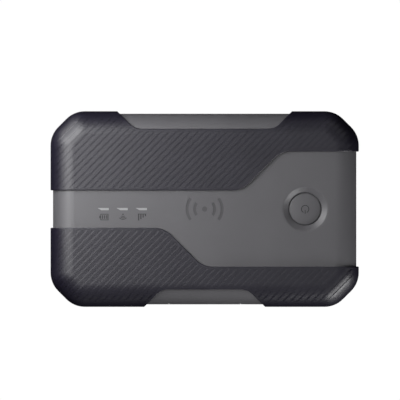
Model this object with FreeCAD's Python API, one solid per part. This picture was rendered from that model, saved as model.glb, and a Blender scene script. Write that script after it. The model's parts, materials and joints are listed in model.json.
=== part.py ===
import FreeCAD, Part
import math
import os

from FreeCAD import Vector

# Rugged mobile hotspot: a flat, pillow-edged battery router for a bag or a vehicle, lying on its back.
# Millimetres. +X runs along its length and +Y across it, with the power button at the +X end.
# +Z is out of the front face. The origin is at the middle of the rear face, on the table.

# ---- driving dimensions -------------------------------------------------------------------------
LENGTH = 130.0
WIDTH = 82.5
THICKNESS = 24.0
CORNER_LEG = 9.9  # how much the 45 degree corner takes off each side
CORNER_R = 11.0  # round between a side and the cut corner
ROLL_R = 10.05  # round from the side to the front and rear faces

# Evenly inset skins of the pillow body, measured from its outermost surface
CASE_INSET = 1.05  # hard case; the rubber bumpers stand this much proud of it
SEAT_INSET = 1.85  # seat sunk in the case, which the bumpers are moulded on
CAVITY_INSET = 3.45
RIDGE_CREST = 0.08  # the ridges stop this far below a bumper's plain border
RIDGE_INSET = 0.25  # floor of the grooves between them
RIDGE_PITCH = 2.15
RIDGE_GAP = 0.5  # width of a groove
RIDGE_MARGIN = 1.0  # width of the plain border
RIDGE_REACH = 4.5  # how far down from the front or rear face the ridges go; the sides are plain
BUMPER_ROUND = 0.35  # softened edge where a bumper stands proud of the case

PARTING_Z = 5.6  # the rear shell is a shallow tray, the front shell a deep tub
BUMPER_GAP = 0.1  # each side of the parting line

# Plan of the hard band between the two bumpers
BAND_HALF_NARROW = 7.9  # at the -X end
BAND_HALF_WIDE = 24.25  # at the +X end
UPPER_BEND_X = 15.85  # where the upper edge starts to widen, at 45 degrees
LOWER_BEND_X = -17.0
BAND_R = 10.0
# Notches in the bumpers on the two long sides
NOTCH_Y = 33.8
UPPER_NOTCH_HALF = 29.4
LOWER_NOTCH_HALF = 18.05
NOTCH_R = 7.0

# Power button
BUTTON_X = 42.3
BUTTON_R = 6.65
BUTTON_GAP = 0.3
BUTTON_TRAVEL = 0.5
DISH_R = 9.6
DISH_DEPTH = 1.7
DISH_RIM = 0.35  # half the width of the dish's softened rim
DOME_RISE = 0.6
CAP_PROUD = 0.3  # how far the cap's edge stands above the dish's inner edge
CAP_CEILING = 20.9  # top of the hollow under the cap
FLANGE_R = 8.0
FLANGE_Z = (19.65, THICKNESS - CAVITY_INSET - 0.1)
COLLAR_R = (8.9, 10.0)
RETAINER_Z = (17.7, 18.4)
STEM_R = 1.8
PLUNGER_TOP = 18.0

# Status lights
LED_X = (-42.7, -34.75, -26.65)
LED_BAR = (4.5, 0.85)
LED_SLANT = 1.5  # how much of a bar's length its slanted end takes

# Debossed marks
MARK_DEPTH = 0.2
MARK_DOT_R = 1.15
MARK_ARC_R = (4.2, 7.4)
MARK_STROKE = 1.3
MARK_SPAN = 38.0  # degrees each side of the X axis
POWER_RING_R = (1.35, 1.75)
POWER_GAP_HALF = 0.65
POWER_DEPTH = 0.15

# Joint between the two shells
GROOVE_INSET = (3.67, 4.67)  # the gasket's groove
GROOVE_DEPTH = 0.7
LIP_INSET = (5.3, 6.3)  # the rear shell's lip, inside the front shell
LABEL = ((25.5, 55.5), (-16.0, 16.0))

# Levels inside
BATTERY_Z = (4.3, 10.5)
FRAME_Z = (10.7, 11.7)
BOARD_Z = (15.2, 16.2)
CAN_TOP = 18.2
PLATE_Z = (20.0, 20.5)

# Plans of what is inside
BATTERY_X = (-46.0, 42.0)
BATTERY_Y = (-26.0, 26.0)
CANS = {"modem": ((-20, 14), (-15, 15)), "wifi": ((-50, -24), (5.5, 15)), "power": ((-44, -24), (-26, -6))}
FLEX_INSET = CAVITY_INSET + 0.2  # printed antennas, against the case's inner wall
CARRIER_INSET = FLEX_INSET + 0.15

# Port bay in the -Y side, behind a hinged door
PORT_Z = 13.3
USB_X = -8.0
RESET_X = 8.0
DOOR_HALF = 15.0
DOOR_Z = (8.0, 16.8)
DOOR_INNER_Y = -38.5
BAY_HALF = 19.0
BAY_FLOOR_Y = -38.1
USB_MOUTH_Y = -36.4
USB_END_Y = -29.0
BAY_INNER_Y = -34.6
HINGE_Y = -38.75
HINGE_Z = 8.0
BARREL_R = 1.1
EAR_X = (8.0, 10.6)  # the case's two knuckles, each between two of the door's
PIN_R = 0.5

# SIM tray in the +Y side
SIM_X = 11.9
SIM_Z = 14.55
TRAY_HEAD = (16.0, 3.4)
TRAY_W = 14.0

# Fasteners
CASE_SCREWS = [(-52.0, -31.0), (52.0, -31.0), (-52.0, 31.0), (52.0, 31.0), (0.0, 29.5), (0.0, -29.5)]
BOARD_SCREWS = [(-48.0, -19.0), (24.0, -19.0), (-48.0, 19.0), (24.0, 19.0)]
POST_R = 3.2
SCREW_SEAT_Z = 3.6
SEAL_T = 0.4
HEAD_R = 1.9
HEAD_H = 1.3
SHANK_R = 0.98
HEAD_WELL_R = 3.0  # hole in a rear bumper for a screw's head and its driver
PAD_R = 5.0  # plain round pad about that hole, part of what the device rests on

FAR = 80.0  # past every part
CLEAR = 0.05


# ---- shape helpers ------------------------------------------------------------------------------
def box(x, y, z):
    """A box from three (low, high) pairs."""
    return Part.makeBox(x[1] - x[0], y[1] - y[0], z[1] - z[0], Vector(x[0], y[0], z[0]))


def post(radius, x, y, z):
    """An upright cylinder between two levels."""
    return Part.makeCylinder(radius, z[1] - z[0], Vector(x, y, z[0]))


def rod_x(radius, x, y, z):
    return Part.makeCylinder(radius, x[1] - x[0], Vector(x[0], y, z), Vector(1, 0, 0))


def rod_y(radius, x, y, z):
    return Part.makeCylinder(radius, y[1] - y[0], Vector(x, y[0], z), Vector(0, 1, 0))


def tube(outer, inner, x, y, z):
    return post(outer, x, y, z).cut(post(inner, x, y, z))


def slot_y(width, height, x, y, z):
    """A bar along Y with half-round ends in X, such as the outline of a USB-C socket."""
    r = height / 2
    flat = width / 2 - r
    bar = box((x - flat, x + flat), y, (z - r, z + r))
    return bar.multiFuse([rod_y(r, x - flat, y, z), rod_y(r, x + flat, y, z)]).removeSplitter()


def fused(shapes):
    return shapes[0].multiFuse(shapes[1:]) if len(shapes) > 1 else shapes[0]


def rounded_wire(points, radii):
    """A closed wire through the points, with a tangent arc of the given radius at each."""
    corners = [Vector(x, y, 0) for x, y in points]
    tangents = []
    for i, corner in enumerate(corners):
        before = (corners[i - 1] - corner).normalize()
        after = (corners[(i + 1) % len(corners)] - corner).normalize()
        half = before.getAngle(after) / 2
        reach = radii[i] / math.tan(half)
        bisector = (before + after).normalize()
        middle = corner + bisector * (radii[i] / math.sin(half) - radii[i])
        tangents.append((corner + before * reach, middle, corner + after * reach))
    edges = []
    for i, (start, middle, end) in enumerate(tangents):
        if radii[i] > 0:
            edges.append(Part.Arc(start, middle, end).toShape())
        edges.append(Part.LineSegment(end, tangents[(i + 1) % len(tangents)][0]).toShape())
    return Part.Wire(edges)


def prism(points, radii, z):
    """An upright prism of a rounded polygon between two levels."""
    face = Part.Face(rounded_wire(points, radii))
    face.translate(Vector(0, 0, z[0]))
    return face.extrude(Vector(0, 0, z[1] - z[0]))


def plate(x, y, radius, z):
    """A rounded rectangle between two levels."""
    points = [(x[0], y[0]), (x[1], y[0]), (x[1], y[1]), (x[0], y[1])]
    return prism(points, [radius] * 4, z)


def outline(inset, z):
    """The body's outline in plan, inset evenly, as a prism between two levels."""
    a = LENGTH / 2 - inset
    b = WIDTH / 2 - inset
    leg = CORNER_LEG - inset * (2 - math.sqrt(2))
    quarter = [(a, b - leg), (a - leg, b)]
    points = [(x, -y) for x, y in reversed(quarter)] + quarter
    points += [(-x, y) for x, y in reversed(quarter)] + [(-x, -y) for x, y in quarter]
    return prism(points, [CORNER_R - inset] * len(points), z)


def pillow(inset):
    """The whole body with its rolled edges, inset evenly on every side."""
    low, high = inset, THICKNESS - inset
    solid = outline(inset, (low, high))
    rims = [e for e in solid.Edges if e.BoundBox.ZLength < 1e-6]
    return solid.makeFillet(ROLL_R - inset, rims)


def between(shape, z):
    """The part of a shape between two levels."""
    return shape.common(box((-FAR, FAR), (-FAR, FAR), z))


# ---- plan of the bumpers ------------------------------------------------------------------------
def bumper_plan(side):
    """Corner points and radii of a bumper's region in plan: side 1 is the upper one, -1 the lower."""
    bend = UPPER_BEND_X if side > 0 else LOWER_BEND_X
    notch = UPPER_NOTCH_HALF if side > 0 else LOWER_NOTCH_HALF
    widening = BAND_HALF_WIDE - BAND_HALF_NARROW
    flare = FAR - NOTCH_Y
    corners = [
        (-FAR, BAND_HALF_NARROW, 0),
        (bend, BAND_HALF_NARROW, BAND_R),
        (bend + widening, BAND_HALF_WIDE, BAND_R),
        (FAR * 1.5, BAND_HALF_WIDE, 0),
        (FAR * 1.5, FAR, 0),
        (notch + flare, FAR, 0),
        (notch, NOTCH_Y, NOTCH_R),
        (-notch, NOTCH_Y, NOTCH_R),
        (-notch - flare, FAR, 0),
        (-FAR, FAR, 0),
    ]
    return [(x, side * y) for x, y, r in corners], [r for x, y, r in corners]


def bumper_region(side, z, margin=0.0):
    """A bumper's region between two levels, drawn in from its edges by a margin."""
    points, radii = bumper_plan(side)
    face = Part.Face(rounded_wire(points, radii))
    if margin:
        face = face.makeOffset2D(-margin)
    face.translate(Vector(0, 0, z[0]))
    return face.extrude(Vector(0, 0, z[1] - z[0]))


WHOLE = (-1.0, THICKNESS + 1.0)
OUTER = pillow(0.0)
CRESTED = pillow(RIDGE_CREST)
GROOVED = pillow(RIDGE_INSET)
CASE = pillow(CASE_INSET)
SEAT = pillow(SEAT_INSET)
CAVITY = pillow(CAVITY_INSET)
CASE_TOP = THICKNESS - CASE_INSET
CEILING = THICKNESS - CAVITY_INSET


# ---- rubber bumpers -----------------------------------------------------------------------------
def groove_slabs():
    """Thin upright slabs at 45 degrees, one where each groove between two ridges runs."""
    corner = (LENGTH / 2 + WIDTH / 2 - CORNER_LEG) / math.sqrt(2)
    count = int((corner - 2 * RIDGE_GAP) / RIDGE_PITCH - 0.5) + 1
    slabs = []
    for i in range(-count, count):
        middle = (i + 0.5) * RIDGE_PITCH
        slab = box((-2 * FAR, 2 * FAR), (middle - RIDGE_GAP / 2, middle + RIDGE_GAP / 2), WHOLE)
        slab.rotate(Vector(0, 0, 0), Vector(0, 0, 1), 45)
        slabs.append(slab)
    return Part.makeCompound(slabs)


def softened(skin, region):
    """A bumper's skin with a small round where its sides meet its outer surface."""
    walls = Part.makeCompound([f for f in region.Faces if f.BoundBox.ZLength > 1])
    outside = OUTER.Shells[0]
    edges = []
    for edge in skin.Edges:
        middle = Part.Vertex(edge.valueAt((edge.FirstParameter + edge.LastParameter) / 2))
        if max(middle.distToShape(walls)[0], middle.distToShape(outside)[0]) < 1e-4:
            edges.append(edge)
    return skin.makeFillet(BUMPER_ROUND, edges)


def screw_posts(radius):
    return Part.makeCompound([post(radius, x, y, WHOLE) for x, y in CASE_SCREWS])


def bumper(side, z):
    """One overmoulded quarter of the rubber, between two levels."""
    region = bumper_region(side, WHOLE)
    skin = softened(between(OUTER.cut(SEAT).common(region), z), region)
    rear = z[0] < 0
    reach = (z[0], RIDGE_REACH) if rear else (THICKNESS - RIDGE_REACH, z[1])
    field = bumper_region(side, reach, RIDGE_MARGIN)
    if rear:
        field = field.cut(screw_posts(PAD_R))
        skin = skin.cut(screw_posts(HEAD_WELL_R))
    skin = skin.cut(OUTER.cut(CRESTED).common(field))
    return skin.cut(OUTER.cut(GROOVED).common(field).common(groove_slabs()))


def front_bumper(side):
    return bumper(side, (PARTING_Z + BUMPER_GAP, THICKNESS + 1))


def rear_bumper(side):
    return bumper(side, (-1.0, PARTING_Z - BUMPER_GAP))


# ---- hard shells --------------------------------------------------------------------------------
def case_wall(z):
    """The case's wall between two levels, with the bumper seats sunk in it."""
    wall = between(CASE.cut(CAVITY), z)
    for side in (1, -1):
        wall = wall.cut(CASE.cut(SEAT).common(bumper_region(side, WHOLE)))
    return wall


def dish():
    """The round dish about the power button, with a softened rim, and the hole below it."""
    hole_r = BUTTON_R + BUTTON_GAP
    floor_z = CASE_TOP - DISH_DEPTH
    points = [
        Vector(0, 0, CEILING - 1),
        Vector(hole_r, 0, CEILING - 1),
        Vector(hole_r, 0, floor_z),
        Vector(DISH_R - DISH_RIM, 0, CASE_TOP - DISH_RIM / 3),
        Vector(DISH_R + DISH_RIM, 0, CASE_TOP),
        Vector(DISH_R + DISH_RIM, 0, CASE_TOP + 1),
        Vector(0, 0, CASE_TOP + 1),
    ]
    face = Part.Face(Part.makePolygon(points + points[:1]))
    solid = face.revolve(Vector(0, 0, 0), Vector(0, 0, 1), 360)
    solid.rotate(Vector(0, 0, 0), Vector(0, 0, 1), 180)
    solid.translate(Vector(BUTTON_X, 0, 0))
    return solid


def signal_mark():
    """A plain signal glyph for the middle of the face: a dot with two arcs on either side of it."""
    z = (CASE_TOP - MARK_DEPTH, CASE_TOP + 1)
    pieces = [post(MARK_DOT_R, 0, 0, z)]
    for radius in MARK_ARC_R:
        ring = tube(radius + MARK_STROKE / 2, radius - MARK_STROKE / 2, 0, 0, z)
        reach = FAR * math.tan(math.radians(MARK_SPAN))
        wedge = [(0, 0), (FAR, reach), (FAR, -reach)]
        for sign in (1, -1):
            sector = prism([(sign * x, sign * y) for x, y in wedge], [0] * 3, z)
            pieces.append(ring.common(sector))
    return Part.makeCompound(pieces)


def led_bar(x, grow, z):
    """One light bar with a slanted end, grown on every side, between two levels."""
    w, h = LED_BAR[0] / 2, LED_BAR[1] / 2
    points = [(x - w, h), (x - w + LED_SLANT, -h), (x + w, -h), (x + w, h)]
    face = Part.Face(rounded_wire(points, [0] * 4))
    if grow:
        face = face.makeOffset2D(grow)
    face.translate(Vector(0, 0, z[0]))
    return face.extrude(Vector(0, 0, z[1] - z[0]))


def led_slots():
    return [led_bar(x, CLEAR, (CEILING - 1, FAR)) for x in LED_X]


def port_bay():
    """What the door's bay, the USB-C socket and the reset hole take out of the front shell."""
    x = (-DOOR_HALF - 0.15, DOOR_HALF + 0.15)
    pocket = box(x, (-FAR, BAY_FLOOR_Y), (HINGE_Z, DOOR_Z[1] + 0.15))
    groove = rod_x(BARREL_R + 0.2, x, HINGE_Y, HINGE_Z)
    below = box(x, (-FAR, HINGE_Y), (HINGE_Z - BARREL_R - 0.55, HINGE_Z))
    nail = post(1.3, DOOR_HALF + 1.1, -WIDTH / 2 + CASE_INSET - 0.4, (11.0, 15.4))
    overmould = slot_y(13.0, 7.0, USB_X, (BAY_FLOOR_Y - 1, USB_MOUTH_Y), PORT_Z)
    socket = slot_y(9.14, 3.46, USB_X, (USB_MOUTH_Y - 1, BAY_INNER_Y + 1), PORT_Z)
    seal = slot_y(11.0, 5.2, USB_X, (USB_MOUTH_Y + 0.4, BAY_INNER_Y + 1), PORT_Z)
    pinhole = rod_y(0.65, RESET_X, (BAY_FLOOR_Y - 1, BAY_INNER_Y + 1), PORT_Z)
    chamber = rod_y(1.2, RESET_X, (USB_MOUTH_Y, BAY_INNER_Y + 1), PORT_Z)
    return [pocket, groove, below, nail, overmould, socket, seal, pinhole, chamber]


def hinge_ears():
    """The two fixed knuckles of the door's hinge, each on a foot from the bay's floor."""
    ears = []
    for x in (EAR_X, (-EAR_X[1], -EAR_X[0])):
        ear = rod_x(BARREL_R, x, HINGE_Y, HINGE_Z)
        ear = ear.fuse(box(x, (HINGE_Y, BAY_FLOOR_Y + 1.2), (HINGE_Z - BARREL_R, HINGE_Z + BARREL_R)))
        ears.append(ear)
    return ears


def sim_bay():
    """What the SIM tray's head, neck and eject pin take out of the front shell."""
    head = slot_y(TRAY_HEAD[0] + 0.2, TRAY_HEAD[1] + 0.2, SIM_X, (37.4, FAR), SIM_Z)
    neck = box((SIM_X - TRAY_W / 2 - 0.2, SIM_X + TRAY_W / 2 + 0.2), (30, 38), (SIM_Z - 0.65, SIM_Z + 0.65))
    return [head, neck]


def front_shell():
    z = (PARTING_Z, THICKNESS)
    wall = case_wall(z)
    bays = [
        CAVITY.common(box((-BAY_HALF, BAY_HALF), (-FAR, BAY_INNER_Y), (PARTING_Z, DOOR_Z[1] + 1.5))),
        CAVITY.common(box((SIM_X - 10, SIM_X + 10), (34.6, FAR), (SIM_Z - 3.2, SIM_Z + 3.2))),
    ]
    posts = [post(POST_R, x, y, (PARTING_Z, CEILING + 0.5)) for x, y in CASE_SCREWS]
    bosses = [post(2.4, x, y, (BOARD_Z[1], CEILING + 0.5)) for x, y in BOARD_SCREWS]
    collar = tube(COLLAR_R[1], COLLAR_R[0], BUTTON_X, 0, (RETAINER_Z[1], CEILING + 0.5))
    shell = wall.multiFuse(bays + posts + bosses + [collar])
    holes = [post(1.6, x, y, (PARTING_Z - 1, 11.2)) for x, y in CASE_SCREWS]
    pilots = [post(0.8, x, y, (BOARD_Z[1] - 1, CEILING - 0.4)) for x, y in BOARD_SCREWS]
    cuts = holes + pilots + led_slots() + port_bay() + sim_bay() + [dish()]
    shell = shell.cut(fused(cuts))
    shell = shell.cut(signal_mark())
    shell = shell.multiFuse(hinge_ears())
    return shell.cut(rod_x(PIN_R + 0.03, (-DOOR_HALF, DOOR_HALF), HINGE_Y, HINGE_Z))


def ring(insets, z):
    """A band that follows the body's outline, between two insets and two levels."""
    return outline(insets[0], z).cut(outline(insets[1], z))


def rear_shell():
    wall = case_wall((0, PARTING_Z))
    lip = ring(LIP_INSET, (PARTING_Z - 1.2, PARTING_Z + 1.4))
    gaps = [post(POST_R + 0.3, x, y, WHOLE) for x, y in CASE_SCREWS]
    gaps.append(box((-BAY_HALF - 0.3, BAY_HALF + 0.3), (-FAR, -30), WHOLE))
    lip = lip.cut(fused(gaps))
    bosses = [post(POST_R, x, y, (CAVITY_INSET - 0.5, PARTING_Z)) for x, y in CASE_SCREWS]
    ribs = [box((x - 0.6, x + 0.6), (-26, 26), (CAVITY_INSET - 0.5, CAVITY_INSET + 1.2)) for x in (-50, 50)]
    shell = wall.multiFuse([lip] + bosses + ribs)
    cuts = [ring(GROOVE_INSET, (PARTING_Z - GROOVE_DEPTH, PARTING_Z + 0.5)).cut(screw_posts(POST_R))]
    for x, y in CASE_SCREWS:
        cuts.append(post(1.1, x, y, WHOLE))
        cuts.append(post(HEAD_R + 0.15, x, y, (-1, SCREW_SEAT_Z)))
    cuts.append(plate(LABEL[0], LABEL[1], 2.5, (0, CASE_INSET + 0.25)))
    return shell.cut(fused(cuts))


def case_gasket():
    """The rubber cord in the rear shell's groove."""
    cord = ring((GROOVE_INSET[0] + CLEAR, GROOVE_INSET[1] - CLEAR), (PARTING_Z - GROOVE_DEPTH, PARTING_Z))
    return cord.cut(screw_posts(POST_R + CLEAR))


def rating_label():
    """A blank label in the rear face's shallow recess."""
    z = (CASE_INSET + 0.1, CASE_INSET + 0.25)
    return plate([LABEL[0][0] + 0.3, LABEL[0][1] - 0.3], [LABEL[1][0] + 0.3, LABEL[1][1] - 0.3], 2.2, z)


# ---- case fasteners -----------------------------------------------------------------------------
def star(radius, depth_z, x, y):
    """A six-lobed drive socket."""
    lobes = [
        post(radius * 0.3, x + radius * 0.72 * math.cos(a), y + radius * 0.72 * math.sin(a), depth_z)
        for a in (math.radians(60 * i) for i in range(6))
    ]
    return fused([post(radius * 0.72, x, y, depth_z)] + lobes)


def case_screw(x, y):
    head_z = (SCREW_SEAT_Z - SEAL_T - HEAD_H, SCREW_SEAT_Z - SEAL_T)
    head = post(HEAD_R, x, y, head_z)
    rims = [e for e in head.Edges if e.BoundBox.ZLength < 1e-6 and e.BoundBox.ZMax < head_z[1] - 0.1]
    head = head.makeFillet(0.3, rims)
    shank = post(SHANK_R, x, y, (head_z[1] - 0.1, 10.6))
    return head.fuse(shank).cut(star(1.0, (head_z[0] - 0.1, head_z[0] + 0.8), x, y))


def case_screws():
    return Part.makeCompound([case_screw(x, y) for x, y in CASE_SCREWS])


def screw_seals():
    z = (SCREW_SEAT_Z - SEAL_T, SCREW_SEAT_Z)
    return Part.makeCompound([tube(HEAD_R - 0.1, SHANK_R + 0.04, x, y, z) for x, y in CASE_SCREWS])


def screw_inserts():
    z = (PARTING_Z + 0.2, 10.8)
    return Part.makeCompound([tube(1.58, SHANK_R + 0.03, x, y, z) for x, y in CASE_SCREWS])


def board_screws():
    """Screws that hold the frame and the board up to the front shell."""
    screws = []
    for x, y in BOARD_SCREWS:
        head = post(1.5, x, y, (FRAME_Z[0] + 0.1, FRAME_Z[0] + 0.8))
        shank = post(0.75, x, y, (FRAME_Z[0] + 0.7, 19.6))
        socket = box((x - 1.0, x + 1.0), (y - 0.15, y + 0.15), (FRAME_Z[0], FRAME_Z[0] + 0.4))
        cross = box((x - 0.15, x + 0.15), (y - 1.0, y + 1.0), (FRAME_Z[0], FRAME_Z[0] + 0.4))
        screws.append(head.fuse(shank).cut(socket.fuse(cross)))
    return Part.makeCompound(screws)


# ---- power button -------------------------------------------------------------------------------
def power_icon(z):
    """The usual broken ring with a bar in its gap. The gap faces -Y, as the face's other icons do."""
    ring = tube(POWER_RING_R[1], POWER_RING_R[0], 0, 0, z)
    ring = ring.cut(box((-POWER_GAP_HALF, POWER_GAP_HALF), (-FAR, 0), z))
    stroke_half = (POWER_RING_R[1] - POWER_RING_R[0]) / 2
    icon = ring.fuse(box((-stroke_half, stroke_half), (-2.0, -0.4), z))
    icon.translate(Vector(BUTTON_X, 0, 0))
    return icon


def power_button():
    top = CASE_TOP - DISH_DEPTH + CAP_PROUD + DOME_RISE
    dome_r = (BUTTON_R**2 + DOME_RISE**2) / (2 * DOME_RISE)
    body = post(BUTTON_R, BUTTON_X, 0, (FLANGE_Z[1] - 0.1, top))
    body = body.common(Part.makeSphere(dome_r, Vector(BUTTON_X, 0, top - dome_r)))
    rims = [e for e in body.Edges if e.BoundBox.ZLength < 1e-6 and e.BoundBox.ZMax > top - DOME_RISE - 0.1]
    body = body.makeFillet(0.3, rims)
    cap = body.fuse(post(FLANGE_R, BUTTON_X, 0, FLANGE_Z))
    cap = cap.cut(tube(5.8, STEM_R, BUTTON_X, 0, (FLANGE_Z[0] - 1, CAP_CEILING)))
    cap = cap.fuse(post(STEM_R, BUTTON_X, 0, (PLUNGER_TOP + CLEAR, FLANGE_Z[1])))
    return cap.cut(power_icon((top - POWER_DEPTH, top + 1)))


def button_seal_ring():
    """The silicone ring under the cap's flange: it seals the button and lifts it back up."""
    return tube(FLANGE_R - 0.1, 6.7, BUTTON_X, 0, (RETAINER_Z[1], FLANGE_Z[0]))


def button_retainer():
    """The plate that closes the button's collar and backs the seal ring."""
    return tube(COLLAR_R[1], STEM_R + 0.25, BUTTON_X, 0, RETAINER_Z)


def power_switch_body():
    x = (BUTTON_X - 2.6, BUTTON_X + 2.6)
    body = box(x, (-2.6, 2.6), (BOARD_Z[1], 17.5))
    legs = []
    for leg_x in (BUTTON_X - 3.0, BUTTON_X + 3.0):
        for leg_y in (-1.9, 1.9):
            leg = (leg_x - 0.4, leg_x + 0.4), (leg_y - 0.3, leg_y + 0.3)
            legs.append(box(*leg, (BOARD_Z[1], BOARD_Z[1] + 0.2)))
    return body.multiFuse(legs).cut(post(1.55, BUTTON_X, 0, (16.35, 18)))


def power_switch_plunger():
    return post(1.5, BUTTON_X, 0, (16.95, PLUNGER_TOP))


# ---- status lights ------------------------------------------------------------------------------
def led_light_guide():
    """Three clear bars on one moulded foot."""
    foot = plate((LED_X[0] - 4, LED_X[2] + 4), (-2.2, 2.2), 1.0, (17.3, 18.3))
    return foot.multiFuse([led_bar(x, 0, (18.2, CASE_TOP)) for x in LED_X])


def light_guide_seal():
    """A foam ring between the light guide's foot and the shell."""
    outer = plate((LED_X[0] - 3.8, LED_X[2] + 3.8), (-2.0, 2.0), 0.9, (18.3, CEILING))
    inner = plate((LED_X[0] - 2.8, LED_X[2] + 2.8), (-1.0, 1.0), 0.4, (18.2, CEILING + 0.1))
    return outer.cut(inner)


def status_leds():
    return Part.makeCompound([box((x - 0.8, x + 0.8), (-0.4, 0.4), (BOARD_Z[1], 16.9)) for x in LED_X])


# ---- frame and electronics ----------------------------------------------------------------------
def mid_frame():
    """The chassis plate between the battery and the main board."""
    sheet = plate((-55, 55), (-33.0, 33.0), 5.0, FRAME_Z)
    standoffs = [post(2.4, x, y, (FRAME_Z[0], BOARD_Z[0])) for x, y in BOARD_SCREWS]
    rails = [box((-44, 20), (y - 0.5, y + 0.5), (FRAME_Z[1] - 0.1, FRAME_Z[1] + 1.0)) for y in (-26, 26)]
    cuts = [post(POST_R + 0.4, x, y, WHOLE) for x, y in CASE_SCREWS]
    cuts += [post(0.85, x, y, WHOLE) for x, y in BOARD_SCREWS]
    cuts += [post(1.6, x, y, (0, FRAME_Z[0] + 0.8)) for x, y in BOARD_SCREWS]
    cuts.append(box((46.5, 56), (-8, 8), FRAME_Z))
    cuts.append(box((USB_X - 6, RESET_X + 4), (-34, USB_END_Y + 0.5), FRAME_Z))
    cuts += [plate((x, x + 11), (-11, 11), 3.0, WHOLE) for x in (-38, -17.5, 3)]
    return sheet.multiFuse(standoffs + rails).cut(fused(cuts))


def main_board():
    sheet = plate((-57, 57), (-31, 31), 2.0, BOARD_Z)
    tab = box((-16, 16), (-34.3, -30), BOARD_Z)
    cuts = [post(POST_R + 0.4, x, y, WHOLE) for x, y in CASE_SCREWS]
    cuts += [post(0.9, x, y, WHOLE) for x, y in BOARD_SCREWS]
    return sheet.fuse(tab).cut(fused(cuts))


def shield_can(name):
    """A five-sided stamped can with a pressed step round its lid."""
    x, y = CANS[name]
    outer = plate(x, y, 1.0, (BOARD_Z[1], CAN_TOP - 0.2))
    step = plate((x[0] + 0.8, x[1] - 0.8), (y[0] + 0.8, y[1] - 0.8), 0.8, (CAN_TOP - 0.3, CAN_TOP))
    hollow = plate((x[0] + 0.2, x[1] - 0.2), (y[0] + 0.2, y[1] - 0.2), 0.8, (BOARD_Z[1] - 1, CAN_TOP - 0.4))
    return outer.fuse(step).cut(hollow)


def chip(x, y, height):
    return box(x, y, (BOARD_Z[1], BOARD_Z[1] + height))


def modem_chips():
    modem = chip((-16, 0), (-8, 8), 1.2)
    power_amplifiers = [chip((3, 11), y, 0.9) for y in ((-9, -1), (2, 10))]
    return Part.makeCompound([modem] + power_amplifiers)


def wifi_chips():
    return Part.makeCompound([chip((-47, -39), (7, 13.5), 0.9), chip((-35, -29), (7.5, 12.5), 0.8)])


def power_chips():
    coils = [chip((-42, -37), (-24, -19), 1.4), chip((-42, -37), (-14, -9), 1.4)]
    return Part.makeCompound(coils + [chip((-34, -27), (-20, -13), 0.9)])


def thermal_pad():
    return plate((-17, 11), (-12, 12), 1.0, (CAN_TOP, PLATE_Z[0]))


def heat_spreader():
    """A thin aluminium sheet that carries the modem's heat to the whole front shell."""
    sheet = plate((-47.5, 30.5), (-24, 24), 3.0, PLATE_Z)
    cuts = [post(3.0, x, y, WHOLE) for x, y in BOARD_SCREWS]
    cuts.append(plate((LED_X[0] - 5, LED_X[2] + 5), (-3.2, 3.2), 1.0, WHOLE))
    return sheet.cut(fused(cuts))


# ---- battery ------------------------------------------------------------------------------------
def battery_cell():
    cell = plate(BATTERY_X, BATTERY_Y, 2.5, BATTERY_Z)
    rims = [e for e in cell.Edges if e.BoundBox.ZLength < 1e-6]
    return cell.makeFillet(1.2, rims)


def battery_protection_board():
    return box((42.3, 45.8), (-17, 17), (6.2, 8.4))


def battery_adhesive():
    strips = [box((-38, 34), (y - 5, y + 5), (BATTERY_Z[1], FRAME_Z[0])) for y in (-18, 18)]
    return Part.makeCompound(strips)


def battery_foam():
    return plate((-40, 36), (-22, 22), 2.0, (CAVITY_INSET, BATTERY_Z[0]))


def battery_flex():
    """The flat lead from the protection board, up past the frame to the main board's plug."""
    run = box((45.8, 49.2), (-3, 3), (7.2, 7.4))
    rise = box((49.0, 49.2), (-3, 3), (7.2, 13.2))
    top = box((44.0, 49.2), (-3, 3), (13.2, 13.4))
    return run.multiFuse([rise, top])


def battery_plug():
    return box((43.0, 47.0), (-4.5, 4.5), (13.4, 14.2))


def battery_socket():
    return box((42.5, 47.5), (-5, 5), (14.2, BOARD_Z[0]))


# ---- antennas -----------------------------------------------------------------------------------
def antenna_carrier(sign):
    """A moulded block that holds an antenna against the end wall."""
    x = tuple(sorted((sign * 57.6, sign * FAR)))
    block = pillow(CARRIER_INSET).common(box(x, (-23, 23), (10.0, 19.0)))
    slots = [box((-FAR, FAR), (y - 3, y + 3), (12.2, 14.0)) for y in (-14, 0, 14)]
    return block.cut(fused(slots))


def antenna_flex(sign):
    """The printed antenna on the carrier: a comb of legs on one rail."""
    x = tuple(sorted((sign * 57.6, sign * FAR)))
    film = pillow(FLEX_INSET).cut(pillow(CARRIER_INSET)).common(box(x, (-22, 22), (10.6, 18.4)))
    gaps = [box((-FAR, FAR), (y - 1.6, y + 1.6), (11.8, 17.0)) for y in (-15, -5, 5, 15)]
    return film.cut(fused(gaps))


def wifi_antenna(side):
    """A printed antenna on the long wall, left of the middle."""
    y = tuple(sorted((side * 34.0, side * FAR)))
    film = pillow(FLEX_INSET).cut(pillow(CARRIER_INSET)).common(box((-44, -24), y, (11.0, 18.4)))
    gaps = [box((x - 1.2, x + 1.2), (-FAR, FAR), (12.4, 17.2)) for x in (-38, -30)]
    return film.cut(fused(gaps))


def antenna_springs():
    """Bent clips on the board that touch the antennas."""
    clips = []
    for sign in (1, -1):
        for y in (-20, 20):
            foot = tuple(sorted((sign * 54.2, sign * 56.6)))
            tip = tuple(sorted((sign * 56.4, sign * 56.6)))
            width = (y - 0.8, y + 0.8)
            clip = box(foot, width, (16.2, 16.4)).fuse(box(tip, width, (16.2, 17.6)))
            clips.append(clip)
    return Part.makeCompound(clips)


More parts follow.
